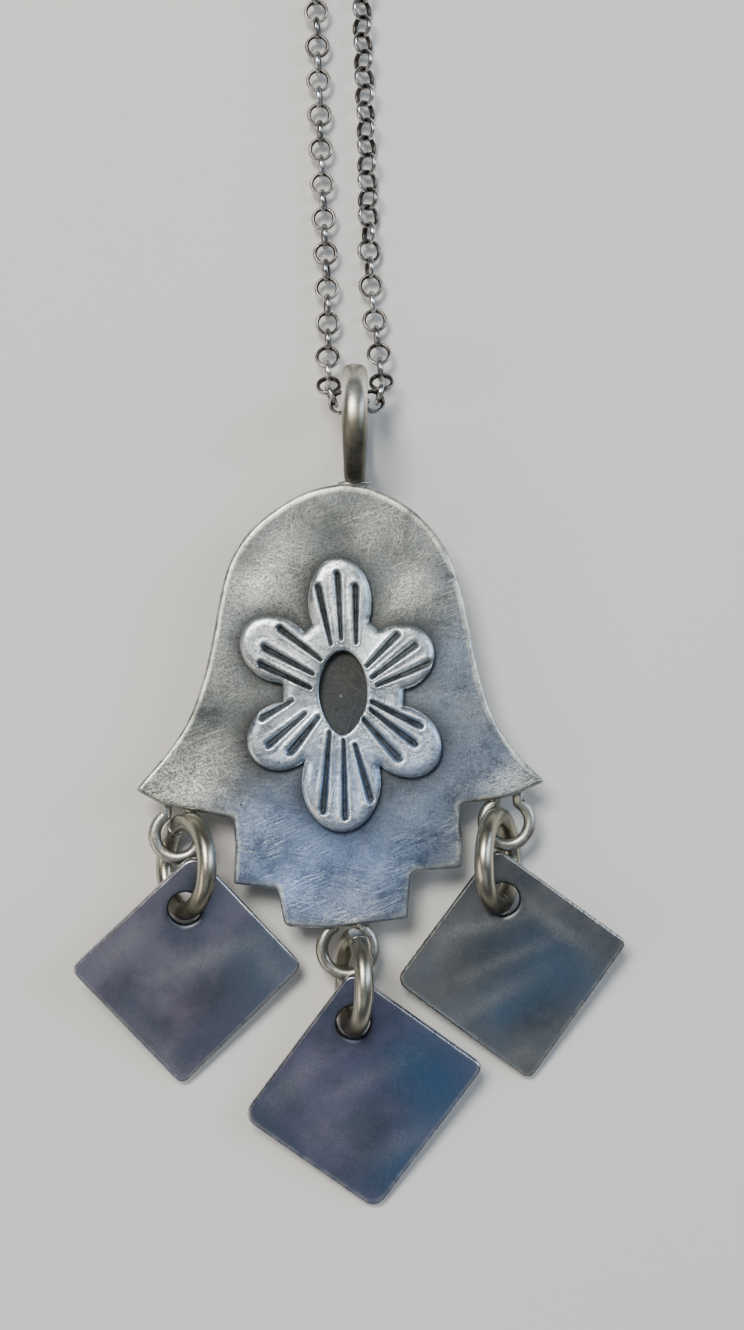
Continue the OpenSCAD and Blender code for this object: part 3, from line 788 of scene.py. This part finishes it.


# Drops: hole x, y, z, roll to the right, corners from the top one clockwise with their radius, then
# strokes of wear and painted sheen, of painted cool reflection, and darker dull ones: u, v, angle, length,
# width, amount
dropSheet = {
    "thickness": 0.8, "rim": 0.2, "softer": 0.35, "columns": 480, "rows": 36,
    "hole": 2.6, "holeEdge": 1.1, "holeWall": [-0.72, 0, 0.72], "holeDarkening": 0.6,
    "swellBelow": 5.5, "swellSize": 45,
}
drops = {
    "left": {
        "x": -12.08, "y": -17.02, "z": 3.7, "roll": 5.2, "bow": 0.12, "rough": 0.008,
        "corners": [[0.7, 4.45, 1.1], [9.25, -4.65, 0.5], [-0.1, -14.35, 0.5], [-8.85, -4.85, 0.5]],
        "wearAndHighlight": [[-4.6, -2.6, 42, 3, 0.9, 0.4], [1.5, -4, 22, 5, 0.8, 0.5],
                 [-3, -10, -45, 3.5, 0.9, 0.25], [6.6, -4.6, -60, 2.4, 0.9, 0.3]],
        "coolReflection": [[6.2, -4.2, 40, 4, 3, 0.8], [0.9, 0.9, 0, 2.6, 2.6, 0.5]],
        "dull": [[1.6, -7, 35, 4, 1.6, 0.38], [0.6, 1.5, 0, 2.4, 2, 0.3],
                 [-5.6, -6.4, 40, 3, 1.2, 0.2]],
        "tones": {"mid": (0.36, 0.32, 0.39, 1), "dark": (0.17, 0.18, 0.24, 1), "shift": 3.3,
                  "coolReflection": (0.19, 0.26, 0.34, 1)},
    },
    "right": {
        "x": 12.58, "y": -16.34, "z": 2.9, "roll": -0.8, "bow": 0.1, "rough": 0.03,
        "corners": [[-0.6, 4.1, 0.8], [9.8, -3.4, 0.5], [2.15, -14.5, 0.5], [-8.45, -6.5, 0.8]],
        "wearAndHighlight": [[-1.6, -2, 14, 3.2, 0.6, 0.7], [3.6, -1.6, -38, 3.6, 0.7, 0.6],
                 [-1, -8, 30, 4, 0.7, 0.4], [-4.2, -3.4, 48, 3, 0.9, 0.35],
                 [1.2, -12.4, 40, 2, 1, 0.35], [0.4, -4.6, 24, 4.2, 0.5, 0.4]],
        "coolReflection": [[4.4, -5, -40, 4.2, 2.6, 0.85], [1, -8.4, 20, 3.6, 2.4, 0.85]],
        "dull": [[2.4, -9.6, 50, 3.8, 2, 0.42], [-4.6, -6.2, 20, 2.6, 1.2, 0.2]],
        "tones": {"mid": (0.3, 0.3, 0.29, 1), "dark": (0.15, 0.175, 0.195, 1), "shift": 5.1,
                  "coolReflection": (0.14, 0.22, 0.32, 1), "bright": (0.6, 0.6, 0.56, 1)},
    },
    "middle": {
        "x": 0.96, "y": -25.81, "z": 2.87, "roll": -0.5, "bow": 0.1, "rough": 0.012,
        "corners": [[-0.2, 4, 0.7], [10.2, -3.5, 0.5], [1.75, -14.95, 1], [-8.75, -7.5, 1]],
        "wearAndHighlight": [[-4.4, -4.4, 45, 3.4, 1.1, 0.4], [3.8, -9.6, 30, 4, 1, 0.25],
                 [0.6, -4.6, 28, 3.8, 0.7, 0.3], [-1.6, -8.6, 10, 3.2, 1.6, 0.2]],
        "coolReflection": [[6, -4.4, -50, 4.6, 3.4, 1], [4, -11, 50, 3.6, 2, 0.7]],
        "dull": [[1.2, -1.8, 0, 3.4, 2, 0.3], [2.4, -7.4, 60, 3.4, 1.4, 0.2]],
        "tones": {"mid": (0.25, 0.23, 0.36, 1), "dark": (0.12, 0.145, 0.21, 1), "shift": 6.6,
                  "coolReflection": (0.09, 0.18, 0.32, 1)},
    },
}


def dropOutline(row):  # filed unevenly along its lower sides, by a sum of three sine waves
    table = np.array(row["corners"], float)[::-1] + [0, 0, dropSheet["softer"]]
    outline = evenly(roundedCorners(table[-1:, :2], table, table[:1, :2]), dropSheet["columns"])
    travelled = np.arange(len(outline)) / len(outline) * 2 * np.pi
    filed = np.sin(61 * travelled) + np.sin(97 * travelled + 1) + np.sin(143 * travelled + 2)
    lowerHalf = smoothStep(1.0, -3.0, outline[:, 1] - 0.3 * outline[:, 0])
    return outline + inward(outline) * (row["rough"] * (1 + 0.33 * filed) * lowerHalf)[:, None]


def laidDrop(points, row):
    # tipped so that its bottom corner touches the surface, rolled to one side, then set at its hole
    table = np.array(row["corners"], float)
    outline = roundedCorners(table[-1:, :2], table, table[:1, :2])
    u, v = outline[:, 0], outline[:, 1]
    reach, foot = -v.min(), u[v.argmin()]
    half = dropSheet["thickness"] / 2
    roll = row["roll"]
    tilt = np.degrees(np.arcsin((row["z"] - foot * sinD(roll)) / cosD(roll) / np.hypot(reach, half))
                      - np.arctan(half / reach))
    x, y, z = np.moveaxis(points, -1, 0)
    y, z = y * cosD(tilt) - z * sinD(tilt), y * sinD(tilt) + z * cosD(tilt)
    x, z = x * cosD(roll) + z * sinD(roll), z * cosD(roll) - x * sinD(roll)
    lowest = (cosD(roll) * (v * sinD(tilt) - half * cosD(tilt)) - u * sinD(roll)).min()
    return np.stack([x + row["x"], y + row["y"], z - lowest], -1)


def makeDrop(name):
    # rays from the hole's edge to the outline, over the top, round the rim and back, closed in the hole;
    # it swells below the hole by a bell of exp(-distance^2 / swellSize)
    row = drops[name]
    edge = dropOutline(row)
    angle = np.degrees(np.arctan2(edge[:, 1], edge[:, 0]))
    hole = dropSheet["hole"] / 2 * ray(angle)
    points, onRim = layeredSheet(edge, hole * dropSheet["holeEdge"], dropSheet)
    levels = np.array(dropSheet["holeWall"]) * (dropSheet["thickness"] / 2)
    wall = [np.column_stack([hole, np.full(len(hole), level)]) for level in levels]
    points = np.concatenate([points, wall])
    u, v = points[..., 0], points[..., 1]
    # darker round the hole
    aroundHole = dropSheet["holeDarkening"] * smoothStep(2.0, 1.3, np.hypot(u, v))
    # marks: darker round the hole and along dull strokes, a bright rim, strokes of wear and painted sheen,
    # painted cool reflection
    marks = {"patinaAndShade": np.maximum(aroundHole, strokes(points, row["dull"])), "rim": onRim,
             "wearAndHighlight": strokes(points, row["wearAndHighlight"]), "coolReflection": strokes(points, row["coolReflection"])}
    swell = (u ** 2 + (v + dropSheet["swellBelow"]) ** 2) / dropSheet["swellSize"]
    points[..., 2] += row["bow"] * np.exp(-swell)
    title, node = "drop" + name.title(), "drop_" + name
    skins = [skin(laidDrop(points, row), True)]
    makePiece(title, skins, dropSilver(name, row["tones"]), node, marks)


# Chain: its route as distance from the bail and heading from +Y toward +X
chain = {
    "outside": 2.06, "wire": 0.24, "gap": 0.14, "linked": 96, "eachSide": 155, "inView": 30,
    "start": [1.22, 22.55], "rise": 3.5, "riseSpan": 4.8, "bendRoom": 1.2,
    "right": [[0, 90], [1, 84], [1.6, 54], [2.8, 16], [4.2, -3], [10, -8], [16, -1], [34, -2.4],
              [72, 35], [125, 35], [223, -90]],
    "left": [[0, -90], [1, -90], [1.6, -66], [2.8, -26], [4.2, -4], [8, 0], [16, -3], [34, -1.5],
             [72, -35], [125, -35], [223, 90]],
    "rightRoll": [[13, 0], [20, 45], [60, 45], [80, 0]],
    # the seen links' half-round wire: its thickness, and its width along the link's axis
    "fullWire": 0.33, "wireWidth": 0.47,
    # links past the first few sway, in degrees; each side and the rubbing and painted highlight has its
    # own random draws
    "sway": 2.5, "mostSway": 5, "swayAfter": 6, "seeds": {"right": 7, "left": 8, "rubbingAndSheen": 11},
    # points round a link and round its wire, in view and beyond; outer sides rubbed bright with a painted
    # highlight, inner ones dark with tarnish and painted shade
    "fine": [26, 8], "coarse": [14, 6], "wearAndSheen": [0.3, 1], "tarnishAndShade": 0.75,
}
linkR = (chain["outside"] - chain["wire"]) / 2
pitch = 2 * linkR - chain["wire"] - chain["gap"]


def lookUp(table, distance):
    return np.interp(distance, *np.transpose(table))


def chainHeight(s):  # a bell-shaped rise over the bail's wire
    return chain["outside"] / 2 + chain["rise"] * np.exp(-(s / chain["riseSpan"]) ** 2)


def climb(s):  # slope angle from the heights half a link before and after
    return np.degrees(np.arcsin((chainHeight(s + pitch / 2) - chainHeight(s - pitch / 2)) / pitch))


def chainDirection(turns, s):
    heading, up = lookUp(turns, s), climb(s)
    return np.array([sinD(heading) * cosD(up), cosD(heading) * cosD(up), sinD(up)])


def strand(turns):
    # link after link, each a pitch on along the heading; a bend brings two joined links closer
    place = np.array([*chain["start"], chainHeight(0)])
    places = []
    for i in range(chain["eachSide"] + 1):
        places.append(place)
        s = i * pitch
        bend = np.sqrt((1 + chainDirection(turns, s) @ chainDirection(turns, s + pitch)) / 2)
        step = 2 * linkR * bend - chain["wire"] - chain["gap"] - chain["bendRoom"] * (1 - bend)
        rise = chainHeight(s + pitch) - chainHeight(s)
        run = np.sqrt(step ** 2 - rise ** 2)
        heading = lookUp(turns, s + pitch / 2)
        place = place + np.array([run * sinD(heading), run * cosD(heading), rise])
    return np.array(places)


def turned(axis, angle):  # rotation matrices about one axis
    c, s, one, none = cosD(angle), sinD(angle), np.ones_like(angle), np.zeros_like(angle)
    rows = {"x": [one, none, none, none, c, -s, none, s, c],
            "y": [c, none, s, none, one, none, -s, none, c],
            "z": [c, -s, none, s, c, none, none, none, one]}[axis]
    return np.stack(rows, -1).reshape(-1, 3, 3)


def wireRing(ringR, halfThick, halfWide, around, wireSides):  # a circle of oval wire about the z axis
    ringAngle = fullTurn(around)[:, None]
    wireAngle = fullTurn(wireSides)[None, :]
    reach = ringR + halfThick * cosD(wireAngle)
    across = halfWide * sinD(wireAngle) + 0 * ringAngle
    return np.stack([reach * cosD(ringAngle), reach * sinD(ringAngle), across], -1)


def linkSkins(side, indexes, around, wireSides):
    # the same wire ring turned and moved to each link's place, every other one on its edge
    turns = chain[side]
    places = strand(turns)[indexes]
    s = indexes * pitch
    roll = 90.0 * ((indexes + 1) % 2) + (lookUp(chain["rightRoll"], s) if side == "right" else 0)
    random = np.random.default_rng(chain["seeds"][side])
    sway = random.normal(0, chain["sway"], (2, len(indexes))).clip(-chain["mostSway"], chain["mostSway"])
    sway = sway * (indexes > chain["swayAfter"])
    turn = (turned("z", 90 - lookUp(turns, s)) @ turned("y", -climb(s) + sway[0])
            @ turned("x", roll + sway[1]))
    wireR = chain["fullWire"] / 2
    ring = wireRing(chain["outside"] / 2 - wireR, wireR, chain["wireWidth"] / 2, around, wireSides)
    return [skin(ring @ matrix.T + place, True) for matrix, place in zip(turn, places)]


def linkMarks(count, around, wireSides):
    # the outer side of each link rubbed bright with a painted highlight by a random amount, its inner side
    # darkened by tarnish and painted shade
    random = np.random.default_rng(chain["seeds"]["rubbingAndSheen"])
    outer = np.tile(cosD(fullTurn(wireSides)), around)
    wearAndSheen = random.uniform(*chain["wearAndSheen"], (count, 1)) * smoothStep(0.35, 0.9, outer)
    patinaShadeAmount = chain["tarnishAndShade"] * smoothStep(0.2, -0.7, outer) * np.ones((count, 1))
    return {"wearAndHighlight": wearAndSheen, "patinaAndShade": patinaShadeAmount}


def makeChain():  # the right strand holds the bail's own link, so the left one starts after it
    inView, linked, last = chain["inView"], chain["linked"], chain["eachSide"]
    stretches = [["chainFront", 0, inView, chain["fine"], "chain_links"],
                 ["chainSides", inView, linked + 1, chain["coarse"], "chain_links"],
                 ["chainBack", linked + 1, last + 1, chain["coarse"], "chain_back"]]
    material = chainSilver()
    for name, first, end, sides, node in stretches:
        right = linkSkins("right", np.arange(first, end), *sides)
        skins = right + linkSkins("left", np.arange(max(first, 1), end), *sides)
        makePiece(name, skins, material, node, linkMarks(len(skins), *sides))


# Clasp
clasp = {
    "length": 7.48, "diameter": 2.58, "edge": 0.45, "ringOutside": 2.58, "ringWire": 0.5,
    "edgeRows": 7, "around": 40, "wireSides": 12,
}


def makeClasp():
    # a barrel turned from a profile with rounded ends, and a ring at each end
    leftEnd, rightEnd = strand(chain["left"])[-1], strand(chain["right"])[-1]
    middle = (leftEnd + rightEnd) / 2
    turn = np.degrees(np.arctan2(*(rightEnd - leftEnd)[[1, 0]]))
    half, r, edge = clasp["length"] / 2, clasp["diameter"] / 2, clasp["edge"]
    bendAngle = np.linspace(0, 90, clasp["edgeRows"])
    rightX, rightR = half - edge + edge * sinD(bendAngle), r - edge + edge * cosD(bendAngle)
    x = np.concatenate([-rightX[::-1], rightX])[:, None]
    radius = np.concatenate([rightR[::-1], rightR])[:, None]
    around = fullTurn(clasp["around"])[None, :]
    barrel = np.stack([x + 0 * around, radius * cosD(around), radius * sinD(around)], -1)
    wireR = clasp["ringWire"] / 2
    ringR = clasp["ringOutside"] / 2 - wireR
    ring = wireRing(ringR, wireR, wireR, clasp["around"], clasp["wireSides"])
    off = np.array([half + ringR, 0, 0])
    shapes = [skin(barrel), skin(ring + off, True), skin(ring - off, True)]
    matrix = turned("z", np.array([turn]))[0]
    place = np.array([middle[0], middle[1], r])
    skins = [(points @ matrix.T + place, faces) for points, faces in shapes]
    makePiece("barrelClasp", skins, loopSilver(), "clasp")


# Stage: the camera is given by the photograph's scale on the surface, in millimetres and pixels
view = {"target": [2.4, 2.16, 0], "distance": 170, "tilt": 5, "focalPixels": 2125, "imageHeight": 1330,
        "sensor": 36, "nearest": 0.005}
# In metres from here on
floorLook = {"colour": (0.8, 0.79, 0.77, 1), "cloudColour": (0.76, 0.75, 0.73, 1), "cloudSize": 60,
             "roughness": 0.7, "size": 3, "drop": 0.00002}
lampAim = (0, -0.08, 0)
# place, width and height, power, colour
lamps = {
    "window": [(-0.16, 0.16, 0.62), (0.3, 0.22), 4.5, (1, 0.96, 0.89)],
    "sky": [(0.55, 0.1, 0.42), (0.25, 0.6), 2.2, (0.7, 0.84, 1)],
    "room": [(-0.55, -0.35, 0.35), (0.5, 0.3), 1.2, (1, 0.88, 0.72)],
    "card": [(0, -0.4, 0.42), (0.45, 0.3), 0.17, (0.88, 0.92, 1.0)],
}
surroundings = {"colour": (0.6, 0.64, 0.7, 1), "strength": 0.18}


def makeCamera():
    target = Vector(toFrame(np.array(view["target"], float)))
    back = Vector((0, -float(sinD(view["tilt"])), float(cosD(view["tilt"]))))
    data = bpy.data.cameras.new("camera")
    data.sensor_width = view["sensor"]
    data.lens = view["sensor"] * view["focalPixels"] / view["imageHeight"]
    data.clip_start = view["nearest"]
    camera = addObject("camera", data)
    camera.location = target + back * view["distance"] * 0.001
    camera.rotation_euler = (-back).to_track_quat("-Z", "Y").to_euler()
    bpy.context.scene.camera = camera


def makeFloor():
    half = floorLook["size"] / 2
    mesh = bpy.data.meshes.new("floor")
    corners = [(x * half, y * half, -floorLook["drop"]) for x, y in ((-1, -1), (1, -1), (1, 1), (-1, 1))]
    mesh.from_pydata(corners, [], [(0, 1, 2, 3)])
    material, tree, shader, place = newMaterial("pale floor")
    clouds = cloud(tree, place, floorLook["cloudSize"])
    tone = mixed(tree, clouds, floorLook["colour"], floorLook["cloudColour"])
    tree.links.new(tone, shader.inputs["Base Color"])
    shader.inputs["Roughness"].default_value = floorLook["roughness"]
    mesh.materials.append(material)
    floor = addObject("floor", mesh)


def makeLamps():
    for name, (place, size, power, colour) in lamps.items():
        data = bpy.data.lights.new(name, "AREA")
        data.shape = "RECTANGLE"
        data.size, data.size_y = size
        data.energy = power
        data.color = colour
        lamp = addObject(name, data)
        lamp.location = place
        lamp.rotation_euler = (Vector(lampAim) - Vector(place)).to_track_quat("-Z", "Y").to_euler()
    world = bpy.data.worlds.new("room light")
    world.use_nodes = True
    background = world.node_tree.nodes["Background"]
    background.inputs["Color"].default_value = surroundings["colour"]
    background.inputs["Strength"].default_value = surroundings["strength"]
    bpy.context.scene.world = world


makeCamera()
makeFloor()
makeLamps()
print("stage set")
makeHandSheet()
makeFlower()
makeBail()
makeSolder()
for loopName in wireLoops:
    makeWireLoop(loopName)
for ringName in jumpRings:
    makeJumpRing(ringName)
for dropName in drops:
    makeDrop(dropName)
makeChain()
makeClasp()
print("all pieces made")
